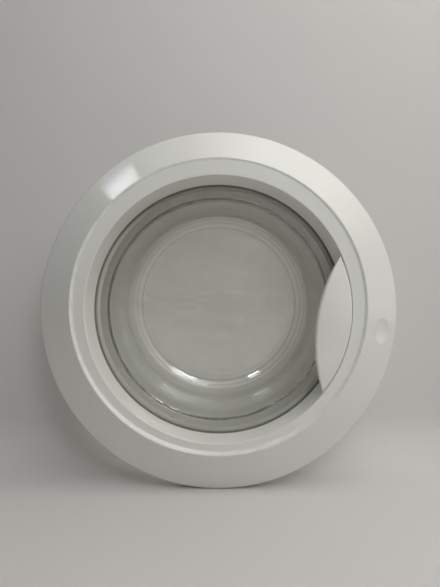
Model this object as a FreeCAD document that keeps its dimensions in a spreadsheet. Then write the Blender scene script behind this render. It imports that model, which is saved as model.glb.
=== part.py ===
import FreeCAD, Part
import math
import os
import Sketcher

# Front-loader porthole door: glass bowl held between two plastic ring frames, with a hinge on the
# left and a pull handle that works a latch hook on the right. Lengths in mm, angles in degrees.
# X runs to the right, Z up and Y from the user into the machine. The cabinet's front is Y = 0, and
# the origin is the middle of the two bolts that hold the hinge bracket to the cabinet.

Vector = FreeCAD.Vector
doc = FreeCAD.newDocument("washing_machine_door")
sheet = doc.addObject("Spreadsheet::Sheet", "sizes")

DRIVING_SIZES = {
    # Front frame from the inside out: inner wall, ledge, cove, crest, sloping band and rim
    "aperture_radius": 143.5,
    "frame_wall": 2.8,
    "step_draft": 2,
    "step_round": 1,
    "ledge_flat": 7.2,
    "ledge_cover": 7.5,
    "cove_radius": 3,
    "crest_rise": 4.8,
    "crest_height": 2.7,
    "crest_round": 1.6,
    "band_width": 39.5,
    "rim_front": 21,
    "rim_rear": 7,
    "rim_round": 4,
    "window_half": 24,
    "window_margin": 3,
    "window_room": 7.5,
    # Thumb dimple beside the handle
    "dimple_inset": 19,
    "dimple_half_width": 10,
    "dimple_half_length": 15,
    "dimple_depth": 2.6,
    "dimple_wall": 1.8,
    # Glass bowl
    "glass_front": 6,
    "glass_wall": 5,
    "glass_lap": 8.5,
    "flange_width": 16,
    "bowl_draft": 6.5,
    "bowl_depth": 100,
    "bowl_corner": 18,
    "bowl_tilt": 2.9,
    "mouth_round": 2.5,
    "flange_round": 4,
    # Rear frame
    "cover_wall": 2.5,
    "cover_back": 6,
    "cover_gap": 0.4,
    "lip_lap": 6,
    "seat_gap": 0.5,
    "cover_round": 1.2,
    # Screws that hold the two frames together
    "screw_count": 8,
    "screw_inset": 24,
    "boss_radius": 4.5,
    "screw_radius": 1.6,
    "screw_length": 16,
    "screw_play": 0.4,
    "head_radius": 3.8,
    "head_height": 2.2,
    "well_depth": 4,
    # Flush screws of the hinge leaf and the latch bracket
    "flush_radius": 2,
    "flush_head": 3.9,
    "flush_length": 5.2,
    # Hinge: bracket on the cabinet, leaf in the door, pin, bushes and clip
    "pin_inset": 15,
    "pin_depth": 16.5,
    "pin_radius": 3,
    "pin_play": 0.05,
    "pin_head_radius": 4.6,
    "pin_head_height": 2.2,
    "pin_tail": 3,
    "clip_radius": 5.6,
    "clip_wall": 1.2,
    "clip_mouth": 2.2,
    "eye_radius": 6,
    "ear_gap": 27,
    "ear_wall": 4,
    "arm_back": 0.5,
    "leg_width": 5.5,
    "leg_margin": 3,
    "neck_bend": 5,
    "plate_width": 15,
    "plate_gap": 2,
    "plate_wall": 3,
    "plate_half": 50,
    "plate_round": 5,
    "bolt_half": 40,
    "bolt_radius": 2.75,
    "barrel_radius": 6,
    "barrel_play": 0.3,
    "bush_radius": 4.5,
    "bush_length": 15,
    "bush_flange": 1.2,
    "leaf_wall": 3,
    "leaf_half": 22,
    "leaf_edge": 3,
    "leaf_end": 6,
    "leaf_margin": 2.1,
    "leaf_screw_near": 12,
    "leaf_screw_half": 14,
    "slot_near": 11,
    "slot_end": 3,
    "slot_play": 1.2,
    # Pull handle
    "handle_drop": 8,
    "flap_width": 36.8,
    "flap_sweep": 171.5,
    "flap_gap": 1.1,
    "flap_wall": 2.6,
    "flap_crown": 260,
    "flap_round": 1.8,
    "flap_inside": 6,
    "flap_spread": 80,
    "handle_pin_inset": 15.5,
    "handle_pin_radius": 2,
    "handle_hub": 4.2,
    "arm_near": 13,
    "arm_wall": 4,
    "arm_root_gap": 1.3,
    "arm_root_width": 10.2,
    "arm_sink": 1,
    "arm_drop": 4,
    "arm_thick": 6,
    "tail_reach": 11,
    "tail_room": 4,
    "tail_gap": 1,
    "tail_front": 0.6,
    "tail_wall": 3.1,
    "tail_half": 4,
    # Latch: bracket, hook and their pins
    "cheek_gap": 23,
    "cheek_wall": 2,
    "cheek_play": 0.5,
    "bracket_wall": 2.5,
    "bracket_inner": 10,
    "bracket_outer": 14,
    "bracket_screw_shift": 2,
    "bracket_screw_half": 16,
    "latch_pin_radius": 2.5,
    "latch_hub": 5,
    "latch_room": 2,
    "cross_head_wall": 1.2,
    "cross_head_lip": 1.2,
    "cross_clip_wall": 0.8,
    "cross_clip_lip": 1.4,
    "cross_clip_mouth": 1.5,
    "cross_tail": 1.2,
    "hook_half": 5,
    "hook_shank": 3,
    "hook_catch": 11,
    "hook_nose": 8,
    "hook_nose_wall": 3,
    "hook_end": 24,
    "hook_lead": 4,
    "hook_hub_top": 11,
    "finger_reach": 5.5,
    "finger_rise": 7,
    "finger_radius": 2,
    "hook_slot_near": 4.2,
    "hook_slot_far": 9,
    "hook_slot_play": 1.5,
    # Torsion springs on the two latch pins
    "spring_play": 0.3,
    "spring_wire": 0.5,
    "spring_leg": 9,
    "handle_spring_turns": 3.5,
    "latch_spring_turns": 5.5,
    # Length by which a cut runs past the piece
    "overrun": 20,
}


class Size:
    """A size with its value and the sheet expression that gives it."""

    def __init__(self, value, text):
        self.value = float(value)
        self.text = text

    def __add__(self, other):
        other = as_size(other)
        return Size(self.value + other.value, f"({self.text} + {other.text})")

    def __sub__(self, other):
        other = as_size(other)
        return Size(self.value - other.value, f"({self.text} - {other.text})")

    def __mul__(self, other):
        other = as_size(other)
        return Size(self.value * other.value, f"({self.text} * {other.text})")

    def __truediv__(self, other):
        other = as_size(other)
        return Size(self.value / other.value, f"({self.text} / {other.text})")

    def __neg__(self):
        return Size(-self.value, f"(0 - {self.text})")

    def __rmul__(self, other):
        return as_size(other) * self

    def __rtruediv__(self, other):
        return as_size(other) / self


def as_size(number):
    """A plain number as a Size."""
    return number if isinstance(number, Size) else Size(number, repr(number))


def root(size):
    """Square root of a size."""
    return Size(math.sqrt(size.value), f"sqrt({size.text})")


def cosine(angle):
    """Cosine of an angle in degrees."""
    return Size(math.cos(math.radians(angle.value)), f"cos({angle.text} * 1 deg)")


def sine(angle):
    """Sine of an angle in degrees."""
    return Size(math.sin(math.radians(angle.value)), f"sin({angle.text} * 1 deg)")


class Sizes:
    """The sheet's cells by their names, and the sizes that follow from them."""


S = Sizes()
for row, (name, number) in enumerate(DRIVING_SIZES.items(), start=1):
    sheet.set(f"A{row}", name)
    sheet.set(f"B{row}", str(number))
    sheet.setAlias(f"B{row}", name)
    setattr(S, name, Size(number, f"sizes.{name}"))
doc.recompute()

# Radii that follow, from the glass opening outwards
S.step_radius = S.aperture_radius + S.step_draft
S.crest_radius = S.step_radius + S.ledge_flat + S.cove_radius + S.crest_rise
S.outer_radius = S.crest_radius + S.band_width
S.dimple_reach = S.outer_radius - S.dimple_inset
S.glass_radius = S.aperture_radius + S.glass_lap
S.neck_radius = S.aperture_radius - S.flange_width
S.floor_radius = S.neck_radius - S.bowl_draft
S.lip_radius = S.aperture_radius - S.lip_lap
S.seat_radius = S.glass_radius + S.seat_gap
S.collar_radius = S.seat_radius + S.cover_wall
S.screw_circle = S.outer_radius - S.screw_inset
S.pin_reach = S.outer_radius - S.pin_inset
S.leaf_screw_far = S.pin_reach - S.collar_radius - S.flush_head - S.leaf_margin
S.leaf_reach = S.leaf_screw_far + S.leaf_end
S.plate_far = S.pin_reach - S.collar_radius - S.plate_gap
S.plate_near = S.plate_far - S.plate_width
S.leg_far = S.plate_far - S.leg_margin
S.leg_near = S.leg_far - S.leg_width
S.slot_far = S.leg_far + S.slot_end
S.flap_reach = S.aperture_radius - S.flap_width
S.arm_root_far = S.aperture_radius - S.arm_root_gap
S.arm_root_near = S.arm_root_far - S.arm_root_width
S.handle_pin_reach = S.step_radius + S.handle_pin_inset
S.latch_pin_reach = S.handle_pin_reach + S.tail_reach + S.tail_room
S.bracket_near = S.latch_pin_reach - S.bracket_inner
S.bracket_far = S.latch_pin_reach + S.bracket_outer
S.bracket_screw_reach = S.latch_pin_reach + S.bracket_screw_shift

# Depths that follow, from the rear frame towards the user
S.cover_front = S.cover_back + S.cover_wall
S.well_front = S.cover_front + S.well_depth
S.well_floor = S.cover_back + S.well_depth
S.bracket_front = S.cover_front + S.bracket_wall
S.latch_pin_depth = S.bracket_front + S.latch_room + S.latch_hub
S.tail_rear = S.latch_pin_depth + S.finger_rise + S.finger_radius + S.tail_gap
S.handle_pin_depth = S.tail_rear + S.tail_wall - S.tail_front
S.arm_front = S.handle_pin_depth - S.arm_drop
S.arm_rear = S.arm_front - S.arm_thick
S.window_rear = S.arm_rear - S.window_room
S.ledge_depth = S.handle_pin_depth + S.ledge_cover
S.crest_depth = S.ledge_depth + S.crest_height
S.glass_back = S.glass_front - S.glass_wall


# Modelling steps that the pieces share


def bind(item, prop, size):
    """Tie a property to its expression."""
    item.setExpression(prop, as_size(size).text)


def new_body(label):
    """An empty body with its label."""
    body = doc.addObject("PartDesign::Body", label)
    body.Label = label
    return body


def place(item, x=None, y=None, turn=None):
    """Put a sub-part at its place, turned about the door's axis where asked."""
    if turn is not None:
        item.Placement = FreeCAD.Placement(Vector(), FreeCAD.Rotation(Vector(0, 1, 0), turn.value))
        bind(item, "Placement.Rotation.Angle", turn)
    if x is not None:
        bind(item, "Placement.Base.x", x)
    if y is not None:
        bind(item, "Placement.Base.y", y)


def origin_item(body, role):
    """One of the body's own origin planes or axes."""
    return [item for item in body.Origin.OriginFeatures if item.Role == role][0]


def new_sketch(body, name, plane, rise=None, turn=None, about=(0, 0, 1), shift=None):
    """A sketch on an origin plane, raised along its normal, turned or shifted in its plane."""
    sketch = body.newObject("Sketcher::SketchObject", name)
    sketch.AttachmentSupport = [(origin_item(body, plane), "")]
    sketch.MapMode = "FlatFace"
    if turn is not None:
        spin = FreeCAD.Rotation(Vector(*about), turn.value)
        sketch.AttachmentOffset = FreeCAD.Placement(Vector(), spin)
        bind(sketch, "AttachmentOffset.Rotation.Angle", turn)
    if rise is not None:
        bind(sketch, "AttachmentOffset.Base.z", rise)
    if shift is not None:
        bind(sketch, "AttachmentOffset.Base.y", shift)
    return sketch


def hold_point(sketch, geometry, position, point):
    """Fix a sketch point at its x and y from the sketch's origin."""
    for kind, axis, size in (("DistanceX", -2, point[0]), ("DistanceY", -1, point[1])):
        size = as_size(size)
        if size.text in ("0", "0.0"):
            sketch.addConstraint(Sketcher.Constraint("PointOnObject", geometry, position, axis))
            continue
        number = sketch.addConstraint(Sketcher.Constraint(kind, -1, 1, geometry, position, size.value))
        bind(sketch, f"Constraints[{number}]", size)


def outline(sketch, corners, arcs=None):
    """Closed outline through the corners. arcs gives, for a corner, the radius of the arc that
    leaves it and the side of its centre: 1 for the left of the way to the next corner, -1 the right."""
    arcs = arcs or {}
    flat = [Vector(as_size(x).value, as_size(y).value, 0) for x, y in corners]
    ends = []
    for number, start in enumerate(flat):
        stop = flat[(number + 1) % len(flat)]
        if number not in arcs:
            edge = sketch.addGeometry(Part.LineSegment(start, stop))
            ends.append((edge, 1, 2))
            continue
        radius, side = arcs[number]
        along = stop - start
        left = Vector(-along.y, along.x, 0).normalize()
        reach = math.sqrt(max(radius.value ** 2 - (along.Length / 2) ** 2, 0))
        centre = (start + stop) * 0.5 + left * (side * reach)
        first, last = (start, stop) if side > 0 else (stop, start)
        angles = [math.atan2(point.y - centre.y, point.x - centre.x) for point in (first, last)]
        circle = Part.Circle(centre, Vector(0, 0, 1), radius.value)
        edge = sketch.addGeometry(Part.ArcOfCircle(circle, angles[0], angles[1]))
        ends.append((edge, 1, 2) if side > 0 else (edge, 2, 1))
        limit = sketch.addConstraint(Sketcher.Constraint("Radius", edge, radius.value))
        bind(sketch, f"Constraints[{limit}]", radius)
    for number, (edge, begin, end) in enumerate(ends):
        after, after_begin, after_end = ends[(number + 1) % len(ends)]
        sketch.addConstraint(Sketcher.Constraint("Coincident", edge, end, after, after_begin))
    for (edge, begin, end), corner in zip(ends, corners):
        hold_point(sketch, edge, begin, corner)


def rectangle(sketch, left, right, low, high):
    """Rectangle between two x and two y values."""
    outline(sketch, [(left, low), (right, low), (right, high), (left, high)])


def circle(sketch, x, y, radius):
    """Circle at x, y."""
    centre = Vector(as_size(x).value, as_size(y).value, 0)
    edge = sketch.addGeometry(Part.Circle(centre, Vector(0, 0, 1), radius.value))
    limit = sketch.addConstraint(Sketcher.Constraint("Radius", edge, radius.value))
    bind(sketch, f"Constraints[{limit}]", radius)
    hold_point(sketch, edge, 3, (x, y))


def revolve(body, sketch, kind="Revolution", spread=None):
    """Turn a profile round the sketch's upright axis, to add or to cut, all round or over a spread."""
    turned = body.newObject(f"PartDesign::{kind}", f"{sketch.Name}_turned")
    turned.Profile = sketch
    turned.ReferenceAxis = (sketch, ["V_Axis"])
    if spread is not None:
        bind(turned, "Angle", spread)
        turned.Midplane = True
    doc.recompute()
    return turned


def pad(body, sketch, length, both_ways=False):
    """Raise a profile along the sketch's normal, or half to each side."""
    raised = body.newObject("PartDesign::Pad", f"{sketch.Name}_pad")
    raised.Profile = sketch
    bind(raised, "Length", length)
    raised.Midplane = both_ways
    doc.recompute()
    return raised


def pocket(body, sketch, length=None, forward=False):
    """Cut a profile right through, or to a length: along the normal, or half to each side."""
    cut = body.newObject("PartDesign::Pocket", f"{sketch.Name}_cut")
    cut.Profile = sketch
    cut.Midplane = not forward
    cut.Reversed = forward
    if length is None:
        cut.Type = "ThroughAll"
    else:
        bind(cut, "Length", length)
    doc.recompute()
    return cut


def ring_pattern(body, feature, count):
    """Repeat a feature evenly round the door's axis."""
    pattern = body.newObject("PartDesign::PolarPattern", f"{feature.Name}_ring")
    pattern.Originals = [feature]
    pattern.Axis = (origin_item(body, "Y_Axis"), [""])
    pattern.Angle = 360
    bind(pattern, "Occurrences", count)
    body.Tip = pattern
    doc.recompute()
    return pattern


def mirror(body, features, plane="XY_Plane"):
    """Repeat features on the other side of an origin plane."""
    copy = body.newObject("PartDesign::Mirrored", f"{features[0].Name}_mirror")
    copy.Originals = features
    copy.MirrorPlane = (origin_item(body, plane), [""])
    body.Tip = copy
    doc.recompute()
    return copy


def dress(body, kind, name, size, chosen):
    """Fillet or chamfer the edges of the body's last shape that the test picks."""
    base = body.Tip
    edges = [f"Edge{number}" for number, edge in enumerate(base.Shape.Edges, start=1) if chosen(edge)]
    if not edges:
        raise ValueError(f"no edge found for {name}")
    worked = body.newObject(f"PartDesign::{kind}", name)
    worked.Base = (base, edges)
    bind(worked, "Radius" if kind == "Fillet" else "Size", size)
    doc.recompute()
    return worked


NEAR = 0.02


def ring_edge(radius, depth):
    """Test for a round edge about the door's axis."""
    def chosen(edge):
        curve = edge.Curve
        return (isinstance(curve, Part.Circle) and abs(curve.Radius - as_size(radius).value) < NEAR
                and abs(curve.Center.y - as_size(depth).value) < NEAR
                and math.hypot(curve.Center.x, curve.Center.z) < NEAR)
    return chosen


def upright_edge(x, y):
    """Test for a straight edge along Z at x, y."""
    def chosen(edge):
        box = edge.BoundBox
        return (abs(box.XMin - x.value) < NEAR and abs(box.XMax - x.value) < NEAR
                and abs(box.YMin - y.value) < NEAR and abs(box.YMax - y.value) < NEAR)
    return chosen


# Places that several pieces share

plate_middle = S.plate_far - S.plate_width / 2
axis_x = S.pin_reach - plate_middle
band_slope = (S.crest_depth - S.rim_front) / (S.outer_radius - S.crest_radius)
band_length = root(band_slope * band_slope + 1)
first_screw = 180 / S.screw_count


def band_depth(radius):
    """Depth of the front band, in front of the cabinet, at a radius."""
    return S.rim_front + (S.outer_radius - radius) * band_slope


# Front frame: one moulded ring. Its band is coaxial with the glass, its crest and cove sit higher.

ahead = S.crest_depth + S.overrun
cove_start = S.aperture_radius - S.overrun


def cove_profile(body, name, wall):
    """Outline of the room in front of the cove, grown by a wall."""
    sketch = new_sketch(body, name, "XY_Plane", rise=S.crest_rise)
    floor = S.ledge_depth - wall
    arc = S.cove_radius + wall
    foot = S.crest_radius - S.cove_radius
    outline(
        sketch,
        [
            (cove_start, -floor),
            (foot, -floor),
            (foot + arc, -(floor + arc)),
            (foot + arc, -ahead),
            (cove_start, -ahead),
        ],
        {1: (arc, -1)},
    )
    return sketch


front_solid = new_body("front_solid")
profile = new_sketch(front_solid, "ring_profile", "XY_Plane")
outline(
    profile,
    [
        (S.aperture_radius, -S.glass_front),
        (S.step_radius, -S.ledge_depth),
        (S.step_radius, -band_depth(S.step_radius)),
        (S.outer_radius, -S.rim_front),
        (S.outer_radius, -S.rim_rear),
        (S.aperture_radius + S.frame_wall, -S.rim_rear),
        (S.aperture_radius + S.frame_wall, -S.glass_front),
    ],
)
revolve(front_solid, profile)
revolve(front_solid, cove_profile(front_solid, "cove", as_size(0)), "Groove")
dress(front_solid, "Fillet", "rim_edge", S.rim_round, ring_edge(S.outer_radius, -S.rim_front))
dress(front_solid, "Fillet", "step_edge", S.step_round, ring_edge(S.step_radius, -S.ledge_depth))


def is_crest(edge):
    """Test for the crest, where the band meets the top of the cove."""
    middle = edge.valueAt((edge.FirstParameter + edge.LastParameter) / 2)
    reach = math.hypot(middle.x, middle.z)
    on_band = abs(middle.y + band_depth(as_size(reach)).value) < NEAR
    return on_band and reach < (S.crest_radius + S.crest_rise).value + NEAR


dress(front_solid, "Fillet", "crest_edge", S.crest_round, is_crest)

window = new_sketch(front_solid, "handle_window", "XY_Plane", turn=S.handle_drop, about=(0, 1, 0))
window_near = S.aperture_radius - S.window_margin
window_far = S.step_radius + S.frame_wall + S.window_margin
rectangle(window, window_near, window_far, S.frame_wall - S.ledge_depth, -S.window_rear)
pocket(front_solid, window, S.window_half * 2)

pilot = new_sketch(front_solid, "pilot_hole", "XZ_Plane", rise=S.well_front, turn=first_screw)
circle(pilot, S.screw_circle, 0, S.screw_radius)
ring_pattern(front_solid, pocket(front_solid, pilot, S.screw_length - S.cover_wall, True), S.screw_count)


# The dimple is the cap of an egg that stands square on the band, longer along the rim than across it
cap_square = S.dimple_half_width * S.dimple_half_width + S.dimple_depth * S.dimple_depth
egg_radius = cap_square / (S.dimple_depth * 2)
egg_half_length = egg_radius * S.dimple_half_length / S.dimple_half_width
egg_lift = (egg_radius - S.dimple_depth) / band_length
egg_reach = S.dimple_reach + egg_lift * band_slope


def dimple_egg(body, name, wall):
    """Cut the dimple's egg, grown by a wall."""
    egg = body.newObject("PartDesign::SubtractiveEllipsoid", name)
    place(egg, x=egg_reach * cosine(S.handle_drop), y=-(band_depth(S.dimple_reach) + egg_lift),
          turn=S.handle_drop)
    bind(egg, "Placement.Base.z", -(egg_reach * sine(S.handle_drop)))
    for prop, size in (("Radius1", egg_half_length), ("Radius2", egg_radius), ("Radius3", egg_radius)):
        bind(egg, prop, size + wall)
    doc.recompute()


dimple_egg(front_solid, "dimple", 0)

# Hollow of the front frame, with columns left standing for the screw bosses
front_hollow = new_body("front_hollow")
roof_drop = S.frame_wall * band_length
inner_reach = S.step_radius + S.frame_wall
rim_inside = S.outer_radius - S.frame_wall
hollow = new_sketch(front_hollow, "hollow_profile", "XY_Plane")
outline(
    hollow,
    [
        (S.aperture_radius + S.frame_wall, 0),
        (S.aperture_radius + S.frame_wall, -S.glass_front),
        (inner_reach, -S.ledge_depth),
        (inner_reach, -(band_depth(inner_reach) - roof_drop)),
        (rim_inside, -(band_depth(rim_inside) - roof_drop)),
        (rim_inside, 0),
    ],
)
revolve(front_hollow, hollow)
revolve(front_hollow, cove_profile(front_hollow, "cove_back", S.frame_wall), "Groove")
boss = new_sketch(front_hollow, "screw_boss", "XZ_Plane", rise=S.well_front, turn=first_screw)
circle(boss, S.screw_circle, 0, S.boss_radius)
ring_pattern(front_hollow, pocket(front_hollow, boss, ahead, True), S.screw_count)
dimple_egg(front_hollow, "dimple_back", S.dimple_wall)

place(front_solid, x=axis_x)
place(front_hollow, x=axis_x)
front_frame = doc.addObject("Part::Cut", "front_frame")
front_frame.Label = "front_frame"
front_frame.Base = front_solid
front_frame.Tool = front_hollow

# Glass bowl: pressed in one piece, with a flat clamping flange and a bowl that leans up a little
glass_bowl = new_body("glass_bowl")
draft = (S.neck_radius - S.floor_radius) / S.bowl_depth
lean = root(draft * draft + 1)


def bowl_profile(name, wall):
    """Half section of the bowl's room with its round corner, grown by a wall."""
    sketch = new_sketch(glass_bowl, name, "XY_Plane", turn=S.bowl_tilt, about=(1, 0, 0),
                        shift=-S.glass_front)
    arc = S.bowl_corner + wall
    centre_depth = S.bowl_depth - S.bowl_corner
    centre_reach = S.neck_radius - draft * centre_depth - S.bowl_corner * lean
    outline(
        sketch,
        [
            (0, -S.overrun),
            (S.neck_radius + draft * S.overrun + wall * lean, -S.overrun),
            (centre_reach + arc / lean, centre_depth + arc * draft / lean),
            (centre_reach, S.bowl_depth + wall),
            (0, S.bowl_depth + wall),
        ],
        {2: (arc, 1)},
    )
    return sketch


def edge_at_depth(depth, low, high):
    """Test for a long edge that lies in one plane across the door, between two radii."""
    def chosen(edge):
        box = edge.BoundBox
        reach = box.XMax
        return (abs(box.YMin - depth.value) < NEAR and abs(box.YMax - depth.value) < NEAR
                and low.value < reach < high.value)
    return chosen


revolve(glass_bowl, bowl_profile("bowl_outside", S.glass_wall))
flange = new_sketch(glass_bowl, "flange", "XY_Plane")
rectangle(flange, 0, S.glass_radius, -S.glass_front, -S.glass_back)
revolve(glass_bowl, flange)
trim = new_sketch(glass_bowl, "front_trim", "XY_Plane")
rectangle(trim, 0, S.glass_radius + S.overrun, -(S.glass_front + S.overrun * 2), -S.glass_front)
revolve(glass_bowl, trim, "Groove")
dress(glass_bowl, "Fillet", "flange_corner", S.flange_round,
      edge_at_depth(-S.glass_back, S.neck_radius, S.glass_radius - NEAR))
revolve(glass_bowl, bowl_profile("bowl_inside", as_size(0)), "Groove")
dress(glass_bowl, "Fillet", "mouth_edge", S.mouth_round,
      edge_at_depth(-S.glass_front, S.floor_radius, S.neck_radius + S.glass_wall))
place(glass_bowl, x=axis_x)

# Rear frame: flat ring with a lip that clamps the glass against the front frame, and screw wells
rear_frame = new_body("rear_frame")
cover_radius = S.outer_radius - S.frame_wall - S.cover_gap
lip_back = S.cover_wall - S.glass_back
cover = new_sketch(rear_frame, "cover_profile", "XY_Plane")
outline(
    cover,
    [
        (S.lip_radius, -S.glass_back),
        (S.seat_radius, -S.glass_back),
        (S.seat_radius, -S.cover_front),
        (cover_radius, -S.cover_front),
        (cover_radius, -S.cover_back),
        (S.collar_radius, -S.cover_back),
        (S.collar_radius, lip_back),
        (S.lip_radius, lip_back),
    ],
)
revolve(rear_frame, cover)
dress(rear_frame, "Fillet", "collar_edge", S.cover_round, ring_edge(S.collar_radius, lip_back))
dress(rear_frame, "Fillet", "cover_edge", S.cover_round, ring_edge(cover_radius, -S.cover_back))

well = new_sketch(rear_frame, "screw_well", "XZ_Plane", rise=S.cover_front, turn=first_screw)
circle(well, S.screw_circle, 0, S.head_radius + S.screw_play + S.cover_wall)
ring_pattern(rear_frame, pad(rear_frame, well, S.well_depth), S.screw_count)
sink = new_sketch(rear_frame, "screw_sink", "XZ_Plane", rise=S.cover_back, turn=first_screw)
circle(sink, S.screw_circle, 0, S.head_radius + S.screw_play)
ring_pattern(rear_frame, pocket(rear_frame, sink, S.well_depth, True), S.screw_count)
screw_hole = new_sketch(rear_frame, "screw_hole", "XZ_Plane", turn=first_screw)
circle(screw_hole, S.screw_circle, 0, S.screw_radius + S.screw_play)
ring_pattern(rear_frame, pocket(rear_frame, screw_hole), S.screw_count)

ear_slots = new_sketch(rear_frame, "ear_slots", "XZ_Plane")
slot_low = S.ear_gap - S.slot_play
slot_high = S.ear_gap + S.ear_wall + S.slot_play
for low, high in ((slot_low, slot_high), (-slot_high, -slot_low)):
    rectangle(ear_slots, -(S.pin_reach + S.slot_near), -(S.pin_reach - S.slot_far), low, high)
pocket(rear_frame, ear_slots)

leaf_holes = new_sketch(rear_frame, "leaf_holes", "XZ_Plane")
for along in (S.leaf_screw_near, S.leaf_screw_far):
    for up in (S.leaf_screw_half, -S.leaf_screw_half):
        circle(leaf_holes, along - S.pin_reach, up, S.flush_radius)
pocket(rear_frame, leaf_holes)

hook_slot = new_sketch(rear_frame, "hook_slot", "XZ_Plane", turn=-S.handle_drop)
slot_half = S.hook_half + S.hook_slot_play
slot_left = S.latch_pin_reach - S.hook_slot_near
slot_right = S.latch_pin_reach + S.hook_slot_far
rectangle(hook_slot, slot_left, slot_right, -slot_half, slot_half)
for up in (S.bracket_screw_half, -S.bracket_screw_half):
    circle(hook_slot, S.bracket_screw_reach, up, S.flush_radius)
pocket(rear_frame, hook_slot)


def flush_hole_rim(edge):
    """Test for the rear rim of a flush screw's hole."""
    curve = edge.Curve
    return (isinstance(curve, Part.Circle) and abs(curve.Radius - S.flush_radius.value) < NEAR
            and abs(curve.Center.y + S.cover_back.value) < NEAR)


flush_depth = S.flush_head - S.flush_radius
dress(rear_frame, "Chamfer", "flush_seats", flush_depth, flush_hole_rim)
place(rear_frame, x=axis_x)

# Screws that join the frames: eight pan-head screws driven from behind
frame_screws = new_body("frame_screws")
frame_screws.AllowCompound = True
screw_sketch = new_sketch(frame_screws, "frame_screw", "XY_Plane")
bind(screw_sketch, "AttachmentOffset.Base.x", S.screw_circle)
outline(
    screw_sketch,
    [
        (0, S.head_height - S.well_floor),
        (0, -(S.well_floor + S.screw_length)),
        (S.screw_radius, -(S.well_floor + S.screw_length)),
        (S.screw_radius, -S.well_floor),
        (S.head_radius, -S.well_floor),
        (S.head_radius, S.head_height - S.well_floor),
    ],
)
ring_pattern(frame_screws, revolve(frame_screws, screw_sketch), S.screw_count)
place(frame_screws, x=axis_x, turn=first_screw)


def flush_screw(x, y, z):
    """A flush-head screw along Y whose head ends at y."""
    shank = Part.makeCylinder(S.flush_radius.value, S.flush_length.value, Vector(x, y, z), Vector(0, -1, 0))
    head = Part.makeCone(S.flush_head.value, S.flush_radius.value, flush_depth.value,
                         Vector(x, y, z), Vector(0, -1, 0))
    return shank.fuse(head).removeSplitter()


def screw_group(label, places, turn):
    """Separate flush screws of one kind in one node, in the door's own axes."""
    group = doc.addObject("Part::Feature", label)
    group.Label = label
    group.Shape = Part.makeCompound([flush_screw(x.value, -S.cover_back.value, z.value) for x, z in places])
    group.Placement = FreeCAD.Placement(Vector(axis_x.value, 0, 0),
                                        FreeCAD.Rotation(Vector(0, 1, 0), as_size(turn).value))
    return group


leaf_screws = screw_group(
    "hinge_leaf_screws",
    [(along - S.pin_reach, up)
     for along in (S.leaf_screw_near, S.leaf_screw_far)
     for up in (S.leaf_screw_half, -S.leaf_screw_half)],
    0,
)
latch_screws = screw_group(
    "latch_bracket_screws",
    [(S.bracket_screw_reach, up) for up in (S.bracket_screw_half, -S.bracket_screw_half)],
    S.handle_drop,
)

# Hinge pieces, drawn about the hinge pin

ear_top = S.ear_gap + S.ear_wall
plate_front = S.pin_depth - S.plate_wall


def place_hinge(item):
    """Move a hinge piece from the pin's axis to its place."""
    place(item, x=-plate_middle, y=-S.pin_depth)


# Bracket: steel plate on the cabinet with two goose-neck ears that reach round the rim
hinge_bracket = new_body("hinge_bracket")
plate = new_sketch(hinge_bracket, "plate", "XZ_Plane", rise=-S.pin_depth)
rectangle(plate, S.plate_near, S.plate_far, -S.plate_half, S.plate_half)
pad(hinge_bracket, plate, S.plate_wall)


def plate_corner(edge):
    """Test for the short edges through the plate at its four corners."""
    return abs(edge.BoundBox.YLength - S.plate_wall.value) < NEAR


dress(hinge_bracket, "Fillet", "plate_corners", S.plate_round, plate_corner)
ear = new_sketch(hinge_bracket, "ear", "XY_Plane", rise=S.ear_gap)
outline(
    ear,
    [
        (0, -S.eye_radius),
        (S.leg_far, -S.eye_radius),
        (S.leg_far, plate_front),
        (S.leg_near, plate_front),
        (S.leg_near, -S.arm_back),
        (0, -S.arm_back),
    ],
)
ear_pad = pad(hinge_bracket, ear, S.ear_wall)
eye = new_sketch(hinge_bracket, "eye", "XY_Plane", rise=S.ear_gap)
circle(eye, 0, 0, S.eye_radius)
eye_pad = pad(hinge_bracket, eye, S.ear_wall)
mirror(hinge_bracket, [ear_pad, eye_pad])
dress(hinge_bracket, "Fillet", "neck_bends", S.neck_bend, upright_edge(S.leg_far, -S.eye_radius))
eye_bore = new_sketch(hinge_bracket, "eye_bore", "XY_Plane")
circle(eye_bore, 0, 0, S.pin_radius)
pocket(hinge_bracket, eye_bore)
bolts = new_sketch(hinge_bracket, "bolt_holes", "XZ_Plane")
for up in (S.bolt_half, -S.bolt_half):
    circle(bolts, plate_middle, up, S.bolt_radius)
pocket(hinge_bracket, bolts)
place_hinge(hinge_bracket)

# Leaf: barrel and plate that carry the door on the pin
hinge_leaf = new_body("hinge_leaf")
barrel_half = S.ear_gap - S.barrel_play - S.bush_flange
leaf_back = S.pin_depth - S.cover_front
barrel = new_sketch(hinge_leaf, "barrel", "XY_Plane")
circle(barrel, 0, 0, S.barrel_radius)
pad(hinge_leaf, barrel, barrel_half * 2, True)
leaf = new_sketch(hinge_leaf, "leaf", "XY_Plane")
rectangle(leaf, -S.leaf_edge, S.leaf_reach, leaf_back - S.leaf_wall, leaf_back)
pad(hinge_leaf, leaf, S.leaf_half * 2, True)
barrel_bore = new_sketch(hinge_leaf, "barrel_bore", "XY_Plane")
circle(barrel_bore, 0, 0, S.bush_radius)
pocket(hinge_leaf, barrel_bore)
leaf_threads = new_sketch(hinge_leaf, "leaf_threads", "XZ_Plane")
for along in (S.leaf_screw_near, S.leaf_screw_far):
    for up in (S.leaf_screw_half, -S.leaf_screw_half):
        circle(leaf_threads, along, up, S.flush_radius)
pocket(hinge_leaf, leaf_threads)
place_hinge(hinge_leaf)

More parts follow.
